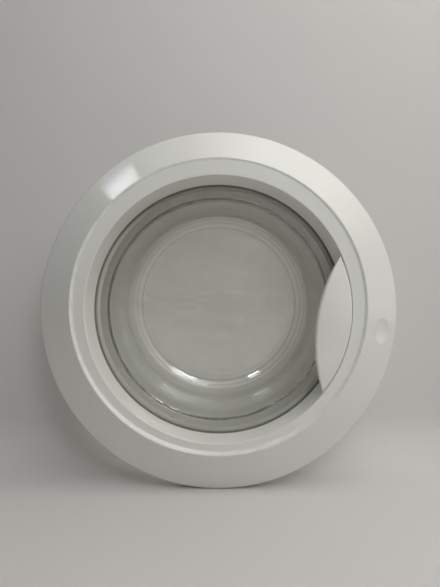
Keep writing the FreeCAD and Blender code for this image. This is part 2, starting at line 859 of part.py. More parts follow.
# Pin, with its head on the upper ear and a spring clip below the lower one
hinge_pin = new_body("hinge_pin")
pin_end = -(ear_top + S.clip_wall + S.pin_tail)
pin_profile = new_sketch(hinge_pin, "pin_profile", "XZ_Plane")
outline(
    pin_profile,
    [
        (0, pin_end),
        (S.pin_radius, pin_end),
        (S.pin_radius, ear_top),
        (S.pin_head_radius, ear_top),
        (S.pin_head_radius, ear_top + S.pin_head_height),
        (0, ear_top + S.pin_head_height),
    ],
)
revolve(hinge_pin, pin_profile)
place_hinge(hinge_pin)

hinge_clip = new_body("hinge_pin_clip")
clip_profile = new_sketch(hinge_clip, "clip_profile", "XZ_Plane")
rectangle(clip_profile, S.pin_radius, S.clip_radius, -(ear_top + S.clip_wall), -ear_top)
revolve(hinge_clip, clip_profile)
mouth = new_sketch(hinge_clip, "clip_mouth", "XY_Plane")
rectangle(mouth, 0, S.clip_radius + S.overrun, -S.clip_mouth, S.clip_mouth)
pocket(hinge_clip, mouth)
place_hinge(hinge_clip)


# Bushes: flanged plastic sleeves pressed into the two ends of the barrel
def hinge_bush(label, side):
    """One bush, for the upper or the lower end of the barrel."""
    body = new_body(label)
    section = new_sketch(body, f"{label}_section", "XZ_Plane")
    bore = S.pin_radius + S.pin_play
    outline(
        section,
        [
            (bore, (barrel_half - S.bush_length) * side),
            (S.bush_radius, (barrel_half - S.bush_length) * side),
            (S.bush_radius, barrel_half * side),
            (S.barrel_radius, barrel_half * side),
            (S.barrel_radius, (barrel_half + S.bush_flange) * side),
            (bore, (barrel_half + S.bush_flange) * side),
        ],
    )
    revolve(body, section)
    place_hinge(body)
    return body


upper_bush = hinge_bush("hinge_bush_upper", 1)
lower_bush = hinge_bush("hinge_bush_lower", -1)

# Handle and latch pieces, drawn with the handle straight to the right of the door's axis


def place_latch(item):
    """Put a handle or latch piece at the handle's angle on the door."""
    place(item, x=axis_x, turn=S.handle_drop)


hub_low = -(S.cheek_gap - S.cheek_play)
flap_edge = S.step_radius - S.flap_gap
flap_front = S.ledge_depth
pin_x = S.handle_pin_reach
pin_y = -S.handle_pin_depth

# Handle: lens-shaped flap flush with the ledge, two arms through the inner wall, hub and tail
handle = new_body("handle")
flap = new_sketch(handle, "flap_section", "XY_Plane")
flap_inner = S.flap_reach - S.flap_inside
outline(
    flap,
    [
        (flap_edge, S.flap_wall - flap_front),
        (flap_edge, -flap_front),
        (flap_inner, -flap_front),
        (flap_inner, S.flap_wall - flap_front),
    ],
    {1: (S.flap_crown, -1)},
)
revolve(handle, flap, spread=S.flap_spread)
lens = new_sketch(handle, "flap_outline", "XZ_Plane")
rectangle(lens, 0, (S.flap_reach + S.flap_sweep) * 2, -(S.flap_sweep * 2), S.flap_sweep * 2)
circle(lens, S.flap_reach + S.flap_sweep, 0, S.flap_sweep)
pocket(handle, lens)


def flap_front_edge(edge):
    """Test for the long edges round the front of the flap."""
    middle = edge.valueAt((edge.FirstParameter + edge.LastParameter) / 2)
    return edge.Length > S.arm_near.value and middle.y < (S.flap_round - S.ledge_depth).value


dress(handle, "Fillet", "flap_edges", S.flap_round, flap_front_edge)
arm = new_sketch(handle, "arm", "XY_Plane", rise=S.arm_near)
outline(
    arm,
    [
        (S.arm_root_near, S.flap_wall - flap_front - S.arm_sink),
        (S.arm_root_far, S.flap_wall - flap_front - S.arm_sink),
        (S.arm_root_far, -S.arm_front),
        (pin_x - S.handle_hub, -S.arm_front),
        (pin_x - S.handle_hub, pin_y),
        (pin_x + S.handle_hub, pin_y),
        (pin_x + S.handle_hub, -S.arm_front),
        (pin_x - S.handle_hub, -S.arm_rear),
        (S.arm_root_far, -S.arm_rear),
        (S.arm_root_near, -S.arm_front),
    ],
)
mirror(handle, [pad(handle, arm, S.arm_wall)])
hub = new_sketch(handle, "hub", "XY_Plane", rise=hub_low)
circle(hub, pin_x, pin_y, S.handle_hub)
pad(handle, hub, S.arm_near + S.arm_wall - hub_low)
tail = new_sketch(handle, "tail", "XY_Plane")
tail_top = pin_y - S.tail_front
rectangle(tail, pin_x, pin_x + S.tail_reach, tail_top, tail_top + S.tail_wall)
pad(handle, tail, S.tail_half * 2, True)
handle_bore = new_sketch(handle, "handle_bore", "XY_Plane")
circle(handle_bore, pin_x, pin_y, S.handle_pin_radius + S.pin_play)
pocket(handle, handle_bore)
place_latch(handle)

# Latch bracket: bent steel channel on the rear frame, whose cheeks carry both pins
latch_bracket = new_body("latch_bracket")
latch_x = S.latch_pin_reach
latch_y = -S.latch_pin_depth
cheek_end = S.cheek_gap + S.cheek_wall
base = new_sketch(latch_bracket, "bracket_base", "XY_Plane")
rectangle(base, S.bracket_near, S.bracket_far, -S.bracket_front, -S.cover_front)
pad(latch_bracket, base, cheek_end * 2, True)
cheek = new_sketch(latch_bracket, "cheek", "XY_Plane", rise=S.cheek_gap)
outline(
    cheek,
    [
        (S.bracket_near, -S.cover_front),
        (pin_x - S.handle_hub, pin_y + S.handle_hub),
        (pin_x - S.handle_hub, pin_y),
        (pin_x, pin_y - S.handle_hub),
        (pin_x + S.handle_hub, pin_y - S.handle_hub / 2),
        (latch_x + S.latch_hub, latch_y - S.latch_hub),
        (S.bracket_far, -S.bracket_front),
        (S.bracket_far, -S.cover_front),
    ],
    {2: (S.handle_hub, 1)},
)
mirror(latch_bracket, [pad(latch_bracket, cheek, S.cheek_wall)])
pin_bores = new_sketch(latch_bracket, "pin_bores", "XY_Plane")
circle(pin_bores, pin_x, pin_y, S.handle_pin_radius)
circle(pin_bores, latch_x, latch_y, S.latch_pin_radius)
pocket(latch_bracket, pin_bores)
bracket_slot = new_sketch(latch_bracket, "bracket_slot", "XZ_Plane")
rectangle(bracket_slot, slot_left, slot_right, -slot_half, slot_half)
for up in (S.bracket_screw_half, -S.bracket_screw_half):
    circle(bracket_slot, S.bracket_screw_reach, up, S.flush_radius)
pocket(latch_bracket, bracket_slot)
place_latch(latch_bracket)

# Hook: cast pawl with a long hub, a finger for the handle's tail and a nose for the lock
hook = new_body("latch_hook")
nose_x = latch_x - S.hook_shank - S.hook_nose
shank = new_sketch(hook, "shank", "XY_Plane")
outline(
    shank,
    [
        (latch_x - S.hook_shank, latch_y),
        (latch_x + S.hook_shank, latch_y),
        (latch_x + S.hook_shank, S.hook_end - S.hook_lead),
        (latch_x + S.hook_shank - S.hook_lead, S.hook_end),
        (nose_x, S.hook_catch + S.hook_nose_wall),
        (nose_x, S.hook_catch),
        (latch_x - S.hook_shank, S.hook_catch),
    ],
)
pad(hook, shank, S.hook_half * 2, True)
hook_hub = new_sketch(hook, "hook_hub", "XY_Plane", rise=hub_low)
circle(hook_hub, latch_x, latch_y, S.latch_hub)
pad(hook, hook_hub, S.hook_hub_top - hub_low)
finger = new_sketch(hook, "finger", "XY_Plane")
tip_x = latch_x - S.finger_reach
tip_y = latch_y - S.finger_rise
finger_length = root(S.finger_reach * S.finger_reach + S.finger_rise * S.finger_rise)
side_x = S.finger_radius * S.finger_rise / finger_length
side_y = S.finger_radius * S.finger_reach / finger_length
outline(
    finger,
    [
        (latch_x + side_x, latch_y - side_y),
        (tip_x + side_x, tip_y - side_y),
        (tip_x - side_x, tip_y + side_y),
        (latch_x - side_x, latch_y + side_y),
    ],
)
pad(hook, finger, S.tail_half * 2, True)
finger_tip = new_sketch(hook, "finger_tip", "XY_Plane")
circle(finger_tip, tip_x, tip_y, S.finger_radius)
pad(hook, finger_tip, S.tail_half * 2, True)
hook_bore = new_sketch(hook, "hook_bore", "XY_Plane")
circle(hook_bore, latch_x, latch_y, S.latch_pin_radius + S.pin_play)
pocket(hook, hook_bore)
place_latch(hook)


# Cross pins of the handle and the hook: headed below the bracket, with a clip on top of it
def cross_pin(label, x, y, radius):
    """A headed pin through both cheeks."""
    body = new_body(label)
    stem = new_sketch(body, f"{label}_stem", "XY_Plane", rise=-cheek_end)
    circle(stem, x, y, radius)
    pad(body, stem, cheek_end * 2 + S.cross_clip_wall + S.cross_tail)
    head = new_sketch(body, f"{label}_head", "XY_Plane", rise=-(cheek_end + S.cross_head_wall))
    circle(head, x, y, radius + S.cross_head_lip)
    pad(body, head, S.cross_head_wall)
    place_latch(body)
    return body


def cross_clip(label, x, y, radius):
    """The spring ring pushed over a cross pin's upper end."""
    body = new_body(label)
    ring = new_sketch(body, f"{label}_ring", "XY_Plane", rise=cheek_end)
    circle(ring, x, y, radius + S.cross_clip_lip)
    circle(ring, x, y, radius)
    pad(body, ring, S.cross_clip_wall)
    mouth = new_sketch(body, f"{label}_mouth", "XY_Plane")
    rectangle(mouth, x, x + S.overrun, y - S.cross_clip_mouth, y + S.cross_clip_mouth)
    pocket(body, mouth)
    place_latch(body)
    return body


handle_pin = cross_pin("handle_pin", pin_x, pin_y, S.handle_pin_radius)
handle_clip = cross_clip("handle_pin_clip", pin_x, pin_y, S.handle_pin_radius)
hook_pin = cross_pin("latch_hook_pin", latch_x, latch_y, S.latch_pin_radius)
hook_clip = cross_clip("latch_hook_pin_clip", latch_x, latch_y, S.latch_pin_radius)


# Torsion springs: wire coiled round a pin, with a straight leg at each end
def torsion_spring(label, x, y, pin_radius, low, high, turns, legs):
    """A coil between two heights on a pin, with its legs turned to the front (0) or the back (180)."""
    wire = S.spring_wire.value
    radius = pin_radius.value + S.spring_play.value + wire
    leg = S.spring_leg.value
    room = high - low - wire * 2
    rise = room / (1 + leg / (math.pi * radius * turns.value))
    coil = Part.makeHelix(rise / turns.value, rise, radius)
    start = coil.Edges[0].valueAt(coil.Edges[0].FirstParameter)
    last = coil.Edges[-1]
    stop = last.valueAt(last.LastParameter)
    end_way = last.tangentAt(last.LastParameter)
    start_way = coil.Edges[0].tangentAt(coil.Edges[0].FirstParameter)
    path = Part.Wire([Part.makeLine(start - start_way * leg, start)] + coil.Edges
                     + [Part.makeLine(stop, stop + end_way * leg)])
    section = Part.Wire([Part.makeCircle(wire, start - start_way * leg, start_way)])
    spring = doc.addObject("Part::Feature", label)
    spring.Label = label
    spring.Shape = path.makePipeShell([section], True, False)
    on_door = FreeCAD.Placement(Vector(axis_x.value, 0, 0),
                                FreeCAD.Rotation(Vector(0, 1, 0), S.handle_drop.value))
    middle = Vector(x.value, y.value, (low + high - rise) / 2)
    spring.Placement = on_door * FreeCAD.Placement(middle, FreeCAD.Rotation(Vector(0, 0, 1), legs))
    return spring


spring_top = S.cheek_gap.value - S.spring_play.value
handle_spring = torsion_spring(
    "handle_spring", pin_x, pin_y, S.handle_pin_radius,
    (S.arm_near + S.arm_wall + S.spring_play).value, spring_top, S.handle_spring_turns, 180,
)
latch_spring = torsion_spring(
    "latch_hook_spring", latch_x, latch_y, S.latch_pin_radius,
    (S.hook_hub_top + S.spring_play).value, spring_top, S.latch_spring_turns, 0,
)

# Every sub-part is checked, then written

doc.recompute()
pieces = [
    front_frame, rear_frame, glass_bowl, frame_screws,
    hinge_bracket, hinge_leaf, hinge_pin, hinge_clip, upper_bush, lower_bush, leaf_screws,
    handle, handle_pin, handle_clip, handle_spring,
    latch_bracket, latch_screws, hook, hook_pin, hook_clip, latch_spring,
]
for item in doc.Objects:
    if "Invalid" in item.State or "Error" in item.State:
        raise RuntimeError(f"{item.Name} failed: {item.State}")
for piece in pieces:
    if piece.Shape.isNull() or not piece.Shape.isValid() or not piece.Shape.Solids:
        raise RuntimeError(f"{piece.Label} has no valid shape")

os.makedirs("parts", exist_ok=True)
for piece in pieces:
    piece.Shape.exportStep(f"parts/{piece.Label}.step")
    box = piece.Shape.BoundBox
    print(f"{piece.Label}: {len(piece.Shape.Solids)} solids, {piece.Shape.Volume:.0f} mm3, "
          f"x {box.XMin:.1f} to {box.XMax:.1f}, y {box.YMin:.1f} to {box.YMax:.1f}, "
          f"z {box.ZMin:.1f} to {box.ZMax:.1f}")
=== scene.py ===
import math

import bmesh
import bpy
from mathutils import Matrix, Vector


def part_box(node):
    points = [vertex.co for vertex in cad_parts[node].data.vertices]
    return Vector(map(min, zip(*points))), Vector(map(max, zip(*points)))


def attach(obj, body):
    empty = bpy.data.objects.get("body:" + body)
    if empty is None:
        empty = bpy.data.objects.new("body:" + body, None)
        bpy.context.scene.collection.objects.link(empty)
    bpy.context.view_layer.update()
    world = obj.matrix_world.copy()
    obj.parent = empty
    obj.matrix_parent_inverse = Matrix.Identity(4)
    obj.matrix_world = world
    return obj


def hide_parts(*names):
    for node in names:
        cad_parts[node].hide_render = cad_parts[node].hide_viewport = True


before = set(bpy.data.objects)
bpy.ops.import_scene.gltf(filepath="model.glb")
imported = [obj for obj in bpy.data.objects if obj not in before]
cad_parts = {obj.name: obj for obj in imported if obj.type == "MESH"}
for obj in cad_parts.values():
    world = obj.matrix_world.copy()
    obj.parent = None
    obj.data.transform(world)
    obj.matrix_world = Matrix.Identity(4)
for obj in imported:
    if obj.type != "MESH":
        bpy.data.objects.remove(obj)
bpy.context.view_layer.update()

# Front frame
# The white ring that the user sees, injection moulded in one shot of glossy plastic. It has aged to a
# slightly warm white, with rub marks along its crest. Screws from behind join it to the rear frame.
CREST_RADIUS = 0.1605
CREST_RISE = 0.0048
RUB_CORE = 0.0004
RUB_REACH = 0.004
RUB_SHARE = 0.25
FRESH_WHITE = (0.87, 0.87, 0.845)
AGED_WHITE = (0.845, 0.84, 0.80)
RUBBED_WHITE = (0.62, 0.61, 0.57)
MOULDED_GLOSS = (0.05, 0.11)
PLASTIC_IOR = 1.5
SKIN_RIPPLE = 0.00003

rim_low, rim_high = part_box("front_frame")
door_axis = (rim_low + rim_high) / 2


def add_node(tree, kind, **settings):
    """A shader node with its settings, where a setting named after an input sets that input."""
    node = tree.nodes.new(f"ShaderNode{kind}")
    for name, value in settings.items():
        if name in node.bl_rna.properties:
            setattr(node, name, value)
        else:
            node.inputs[name.replace("_", " ")].default_value = value
    return node


def grain(tree, scale, detail, stretch=(1, 1, 1)):
    """Noise on the piece itself, finer with a larger scale (features per metre), as a 0 to 1 output."""
    place = add_node(tree, "TexCoord")
    squeeze = add_node(tree, "Mapping", Scale=stretch)
    noise = add_node(tree, "TexNoise", Scale=scale, Detail=detail)
    tree.links.new(place.outputs["Object"], squeeze.inputs["Vector"])
    tree.links.new(squeeze.outputs["Vector"], noise.inputs["Vector"])
    return noise.outputs["Fac"]


def spread(tree, source, low, high, out_low, out_high):
    """Stretches a value from one range to another and keeps it inside."""
    span = add_node(tree, "MapRange")
    ends = {"From Min": low, "From Max": high, "To Min": out_low, "To Max": out_high}
    for name, number in ends.items():
        span.inputs[name].default_value = number
    tree.links.new(source, span.inputs["Value"])
    return span.outputs["Result"]


def patches(tree, scale, detail, noise, gives=(0, 1), stretch=(1, 1, 1)):
    """Grain whose noise range is stretched to what it gives, for patches with a soft edge."""
    return spread(tree, grain(tree, scale, detail, stretch), *noise, *gives)


def tint(tree, share, first, second):
    """Mixes two colours by a share and gives the mix."""
    mix = add_node(tree, "Mix", data_type="RGBA")
    for socket, colour in ((mix.inputs[6], first), (mix.inputs[7], second)):
        if isinstance(colour, tuple):
            socket.default_value = (*colour, 1)
        else:
            tree.links.new(colour, socket)
    tree.links.new(share, mix.inputs[0])
    return mix.outputs[2]


def combine(tree, operation, first, second):
    """Joins a value to another, or to a plain number, by an operation such as MULTIPLY or MAXIMUM."""
    joined = add_node(tree, "Math", operation=operation)
    tree.links.new(first, joined.inputs[0])
    if isinstance(second, (int, float)):
        joined.inputs[1].default_value = second
    else:
        tree.links.new(second, joined.inputs[1])
    return joined.outputs[0]


def away_from(tree, source, middle):
    """How far a value is from a middle value, on either side."""
    away = add_node(tree, "Math", operation="ABSOLUTE")
    tree.links.new(combine(tree, "SUBTRACT", source, middle), away.inputs[0])
    return away.outputs[0]


def roughen(tree, shader, height, depth):
    """Lets a 0 to 1 height raise the surface by a depth in metres."""
    bump = add_node(tree, "Bump", Strength=1.0, Distance=depth)
    tree.links.new(height, bump.inputs["Height"])
    tree.links.new(bump.outputs["Normal"], shader.inputs["Normal"])


def blank_finish(name):
    """A new material, with its tree and its shader."""
    finish = bpy.data.materials.new(name)
    finish.use_nodes = True
    return finish, finish.node_tree, finish.node_tree.nodes["Principled BSDF"]


def dress(nodes, finish):
    """Puts a finish on carried-over nodes."""
    for name in nodes:
        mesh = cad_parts[name].data
        mesh.materials.clear()
        mesh.materials.append(finish)


def off_axis(tree, rise=0):
    """How far a point of the piece is from the door's axis, or from a line that much above it."""
    place = add_node(tree, "TexCoord")
    flat = add_node(tree, "VectorMath", operation="MULTIPLY")
    flat.inputs[1].default_value = (1, 0, 1)
    reach = add_node(tree, "VectorMath", operation="DISTANCE")
    reach.inputs[1].default_value = (door_axis.x, 0, door_axis.z + rise)
    tree.links.new(place.outputs["Object"], flat.inputs[0])
    tree.links.new(flat.outputs[0], reach.inputs[0])
    return reach.outputs["Value"]


def crest_rub(tree):
    """1 on the crest, falling to 0 a few millimetres to each side."""
    away = away_from(tree, off_axis(tree, CREST_RISE), CREST_RADIUS)
    return spread(tree, away, RUB_CORE, RUB_REACH, 1, 0)


def white_moulding(name):
    """Glossy white plastic with slight yellowing, rub marks and the soft ripple of a moulded skin."""
    finish, tree, shader = blank_finish(name)
    aged = patches(tree, scale=7, detail=3, noise=(0.35, 0.7))
    body = tint(tree, aged, FRESH_WHITE, AGED_WHITE)
    scuffs = patches(tree, scale=90, detail=6, noise=(0.56, 0.68), gives=(0, RUB_SHARE))
    rubbed = combine(tree, "MULTIPLY", crest_rub(tree), scuffs)
    tree.links.new(tint(tree, rubbed, body, RUBBED_WHITE), shader.inputs["Base Color"])
    gloss = patches(tree, scale=45, detail=8, noise=(0.3, 0.75), gives=MOULDED_GLOSS, stretch=(1, 3, 1))
    tree.links.new(gloss, shader.inputs["Roughness"])
    shader.inputs["IOR"].default_value = PLASTIC_IOR
    roughen(tree, shader, grain(tree, scale=500, detail=2), SKIN_RIPPLE)
    return finish


dress(["front_frame"], white_moulding("white_moulding"))

# Glass bowl
# Pressed from clear soda-lime glass in one piece: a flat flange, a sharp mouth, and a deep bowl with a round
# corner and a flat bottom. The press leaves rings at the corner and faint waves in the bottom. The two
# frames clamp the flange. A dark line along their edge is painted shade where frame and glass meet, and
# the flange is tinted darker as painted shade on the rear frame's lip seen through it.
FLANGE_FRONT = -0.006
FLANGE_REAR = -0.001
FLANGE_RADIUS = 0.152
FLANGE_EDGE = 0.0008
CLAMP_GAP = 0.0001
MOUTH_RADIUS = 0.1255
MOUTH_EDGE = 0.0011
NECK_FILLET = 0.0016
GLASS_WALL = 0.0042
BOWL_DEPTH = 0.100
BOWL_DRAFT = 0.065
BOWL_CORNER = 0.0205
BOWL_LEAN = math.tan(math.radians(2.9))
SHIFT_FROM = 0.006
TILT_FROM = 0.012
PRESS_RING = 0.00026
PRESS_RINGS = 3.5
FOOT_RIDGE = 0.0003
RIDGE_WIDTH = 0.0016
RIDGE_FOOT = 3 * RIDGE_WIDTH
BEND_TURN = 1.5
BOWL_SEGMENTS = 288
BOTTOM_STEPS = 16
RIDGE_STEPS = 12
INSIDE_STEPS = 72
OUTSIDE_STEPS = 20
WALL_STEPS = 24
MOUTH_STEPS = 6
EDGE_STEPS = 4
NECK_STEPS = 8
FRAME_EDGE = 0.1435
# Where the painted shade line along the frame's edge begins and is full.
EDGE_SHADE_START = FRAME_EDGE - 0.0016
EDGE_SHADE_FULL = FRAME_EDGE - 0.0006
# Where the flange's darker tint begins and is full: painted shade on the lip seen through the flange.
FLANGE_SHADE_START = MOUTH_RADIUS + 0.0005
FLANGE_SHADE_FULL = MOUTH_RADIUS + 0.002
RING_PITCH = 0.0065
RING_SHARE = 0.5
RING_FOOT = -0.6
RINGS_START = (0.099, 0.104)
RINGS_END = (0.118, 0.121)
WAVES_START = FLANGE_FRONT + BOWL_DEPTH - 0.01
WAVES_FULL = FLANGE_FRONT + BOWL_DEPTH - 0.004
WAVE_HEIGHT = 0.0004
LIME_FILM = (0.985, 0.90)
# Share of light the glass still passes inside the painted shade line at the frame's edge.
EDGE_SHADE_PASSES = 0.2
SMEARED = (0, 0.02)
FACE_ON = 0.04
ALONG_WALL = 0.7
GLASS_IOR = 1.5
CLEAR_GLASS = (0.98, 0.985, 0.97)
EDGEWISE_GLASS = (0.52, 0.535, 0.485)
RINGED_GLASS = (0.58, 0.59, 0.54)
# Darker tint of the flange, painted shade on the rear frame's lip seen through it.
FLANGE_SHADE_GLASS = (0.57, 0.575, 0.54)
# Dark colour of the shade line painted along the frame's edge.
EDGE_SHADE_COLOUR = (0.16, 0.155, 0.14)
bottom_rise = BOWL_DEPTH * BOWL_LEAN


def arc(centre, radius, first, last, steps):
    """Points of an arc of a section, angles in degrees from the radius line towards the machine."""
    turns = [math.radians(first + (last - first) * i / steps) for i in range(steps + 1)]
    return [(centre[0] + radius * math.cos(turn), centre[1] + radius * math.sin(turn)) for turn in turns]


def put_in_scene(name, data):
    """A new object of the scene, with that mesh, light or camera."""
    piece = bpy.data.objects.new(name, data)
    bpy.context.scene.collection.objects.link(piece)
    return piece


def lathe(name, section, segments, axis):
    """Turns a section of (radius, depth) points about an axis that runs into the machine."""
    turns = [math.tau * i / segments for i in range(segments)]
    points = [(axis.x + reach * math.cos(turn), depth, axis.z + reach * math.sin(turn))
              for reach, depth in section for turn in turns]
    last = (len(section) - 1) * segments
    faces = []
    for start in range(0, last, segments):
        for i in range(segments):
            here, beside = start + i, start + (i + 1) % segments
            faces.append((here, beside, beside + segments, here + segments))
    faces += [tuple(range(segments)), tuple(range(last, last + segments))]
    mesh = bpy.data.meshes.new(name)
    mesh.from_pydata(points, [], faces)
    shell = bmesh.new()
    shell.from_mesh(mesh)
    bmesh.ops.recalc_face_normals(shell, faces=shell.faces)
    shell.to_mesh(mesh)
    shell.free()
    mesh.shade_smooth()
    return put_in_scene(name, mesh)


def bowl_section(wall):
    """The bowl's section from the middle of its bottom to its mouth, grown by a wall. Its inside, where
    the wall is 0, has the foot ridge round the bottom and the press rings in the corner."""
    pressed = wall == 0
    draft = math.atan(BOWL_DRAFT)
    corner = BOWL_CORNER + wall
    depth = FLANGE_FRONT + BOWL_DEPTH - BOWL_CORNER
    reach = MOUTH_RADIUS - BOWL_DRAFT * (BOWL_DEPTH - BOWL_CORNER) - BOWL_CORNER / math.cos(draft)
    outer = [reach - RIDGE_FOOT * (1 - i / RIDGE_STEPS) for i in range(RIDGE_STEPS)]
    inner = [outer[0] * i / BOTTOM_STEPS for i in range(1, BOTTOM_STEPS)]
    bottom = [(r, depth + corner) for r in inner + outer]
    bend = arc((reach, depth), corner, 90, math.degrees(draft), INSIDE_STEPS if pressed else OUTSIDE_STEPS)
    top_reach, top_depth = bend[-1]
    mouth_depth = CLAMP_GAP + (FLANGE_FRONT + MOUTH_EDGE if pressed else FLANGE_REAR + NECK_FILLET)
    side = []
    for i in range(1, WALL_STEPS + 1):
        y = top_depth + (mouth_depth - top_depth) * i / WALL_STEPS
        side.append((top_reach + BOWL_DRAFT * (top_depth - y), y))
    if pressed:
        bottom = [(r, y - FOOT_RIDGE * math.exp(-((reach - r) / RIDGE_WIDTH) ** 2)) for r, y in bottom]
        for i, (r, y) in enumerate(bend):
            share = i / INSIDE_STEPS
            lift = PRESS_RING * math.sin(math.tau * PRESS_RINGS * share) * math.sin(math.pi * share)
            lift += FOOT_RIDGE * math.exp(-(share * corner * BEND_TURN / RIDGE_WIDTH) ** 2)
            bend[i] = (r - lift * (r - reach) / corner, y - lift * (y - depth) / corner)
    return bottom + bend + side


inside = bowl_section(0)
outside = bowl_section(GLASS_WALL)
lip_reach, lip_depth = inside[-1]
root_reach, root_depth = outside.pop()
mouth = arc((lip_reach + MOUTH_EDGE, lip_depth), MOUTH_EDGE, 180, 270, MOUTH_STEPS)
rim_reach = FLANGE_RADIUS - FLANGE_EDGE
rim = arc((rim_reach, FLANGE_FRONT + CLAMP_GAP + FLANGE_EDGE), FLANGE_EDGE, 270, 360, EDGE_STEPS)
rim += arc((rim_reach, FLANGE_REAR - CLAMP_GAP - FLANGE_EDGE), FLANGE_EDGE, 0, 90, EDGE_STEPS)
neck = arc((root_reach + NECK_FILLET, root_depth), NECK_FILLET, 270, 180, NECK_STEPS)
glass = lathe("glass_bowl_pressed", inside + mouth + rim + neck + outside[::-1], BOWL_SEGMENTS, door_axis)
for point in glass.data.vertices:
    sunk = point.co.y - FLANGE_FRONT
    tilted = min(max((sunk - TILT_FROM) / (BOWL_DEPTH - TILT_FROM), 0), 1)
    height = point.co.z - door_axis.z
    point.co.z += max(sunk - SHIFT_FROM, 0) * BOWL_LEAN
    point.co.y -= height * BOWL_LEAN * tilted


def ring_marks(tree):
    """Share of the darker rings round the bottom, which fade at the bottom's edge and up the wall."""
    reach = off_axis(tree, bottom_rise)
    swing = add_node(tree, "Math", operation="SINE")
    tree.links.new(combine(tree, "MULTIPLY", reach, math.tau / RING_PITCH), swing.inputs[0])
    zone = combine(tree, "MULTIPLY", spread(tree, reach, *RINGS_START, 0, RING_SHARE),
                   spread(tree, reach, *RINGS_END, 1, 0))
    return combine(tree, "MULTIPLY", spread(tree, swing.outputs[0], RING_FOOT, 1, 0, 1), zone)


def depth_share(tree, start, full):
    """0 in front of one depth into the machine, 1 behind another."""
    place = add_node(tree, "TexCoord")
    parts = add_node(tree, "SeparateXYZ")
    tree.links.new(place.outputs["Object"], parts.inputs[0])
    return spread(tree, parts.outputs["Y"], start, full, 0, 1)


def let_through(tree, shader, share, colour):
    """Makes a surface plainly transparent for the share of the rays that is given."""
    clear = add_node(tree, "BsdfTransparent", Color=(*colour, 1))
    mix = add_node(tree, "MixShader")
    tree.links.new(share, mix.inputs["Fac"])
    tree.links.new(shader.outputs[0], mix.inputs[1])
    tree.links.new(clear.outputs[0], mix.inputs[2])
    tree.links.new(mix.outputs[0], tree.nodes["Material Output"].inputs["Surface"])


def pressed_glass(name):
    """Clear glass, olive where one looks along its wall, with faint waves, smears and a thin lime film.
    The flange is tinted darker and a dark line runs along the frame's edge, both painted shade.
    Light from lamps and from the sheet behind passes straight through it."""
    finish, tree, shader = blank_finish(name)
    slant = add_node(tree, "LayerWeight", Blend=0.5)
    edgewise = spread(tree, slant.outputs["Facing"], FACE_ON, ALONG_WALL, 0, 1)
    bowl_tint = tint(tree, edgewise, CLEAR_GLASS, EDGEWISE_GLASS)
    ringed = tint(tree, ring_marks(tree), bowl_tint, RINGED_GLASS)
    # Painted shade: the flange is tinted darker so the lip behind it looks shaded.
    flange = spread(tree, off_axis(tree), FLANGE_SHADE_START, FLANGE_SHADE_FULL, 0, 1)
    flange_shaded_glass = tint(tree, flange, ringed, FLANGE_SHADE_GLASS)
    # Painted shade: a dark, less clear band on the glass where it meets the frame's edge.
    edge_shade = spread(tree, off_axis(tree), EDGE_SHADE_START, EDGE_SHADE_FULL, 0, 1)
    tree.links.new(tint(tree, edge_shade, flange_shaded_glass, EDGE_SHADE_COLOUR), shader.inputs["Base Color"])
    film = patches(tree, scale=18, detail=6, noise=(0.4, 0.75), gives=LIME_FILM, stretch=(1, 1, 2.5))
    clear_share = combine(tree, "MULTIPLY", film, spread(tree, edge_shade, 0, 1, 1, EDGE_SHADE_PASSES))
    tree.links.new(clear_share, shader.inputs["Transmission Weight"])
    shader.inputs["IOR"].default_value = GLASS_IOR
    smears = patches(tree, scale=30, detail=6, noise=(0.5, 0.75), gives=SMEARED, stretch=(1, 1, 0.4))
    tree.links.new(smears, shader.inputs["Roughness"])
    waves = grain(tree, scale=16, detail=2, stretch=(1, 1, 3))
    bottom_waves = combine(tree, "MULTIPLY", waves, depth_share(tree, WAVES_START, WAVES_FULL))
    roughen(tree, shader, bottom_waves, WAVE_HEIGHT)
    ray = add_node(tree, "LightPath")
    passing = combine(tree, "MAXIMUM", ray.outputs["Is Shadow Ray"], ray.outputs["Is Diffuse Ray"])
    let_through(tree, shader, passing, CLEAR_GLASS)
    return finish


glass.data.materials.append(pressed_glass("pressed_glass"))
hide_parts("glass_bowl")
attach(glass, "door")

# Handle
# The lens-shaped pull flap, moulded in the frame's own white plastic with its arms, hub and tail. Its face
# is crowned along its length. It hangs on a cross pin in the latch channel, behind the frame's inner wall.
HANDLE_DROP = math.radians(8)
FLAP_HALF_LENGTH = 0.068
FLAP_CROWN = 0.004
FLAP_BACK = -0.0345
WELD = 1e-6
SHARP_EDGE = math.radians(35)

flap_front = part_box("handle")[0].y
flap_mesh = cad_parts["handle"].data.copy()
flap_mesh.name = "pull_flap"
flap = bmesh.new()
flap.from_mesh(flap_mesh)
bmesh.ops.remove_doubles(flap, verts=flap.verts, dist=WELD)
bmesh.ops.dissolve_degenerate(flap, edges=flap.edges, dist=WELD)
for point in flap.verts:
    across, up = point.co.x - door_axis.x, point.co.z - door_axis.z
    along = across * math.sin(HANDLE_DROP) + up * math.cos(HANDLE_DROP)
    raised = min(max((FLAP_BACK - point.co.y) / (FLAP_BACK - flap_front), 0), 1)
    point.co.y -= FLAP_CROWN * (1 - (along / FLAP_HALF_LENGTH) ** 2) * raised
flap.to_mesh(flap_mesh)
flap.free()
flap_mesh.shade_smooth()
flap_mesh.set_sharp_from_angle(angle=SHARP_EDGE)
flap_mesh.materials.clear()
flap_mesh.materials.append(white_moulding("handle_moulding"))
pull_flap = put_in_scene("pull_flap", flap_mesh)
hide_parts("handle")
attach(pull_flap, "handle_flap")

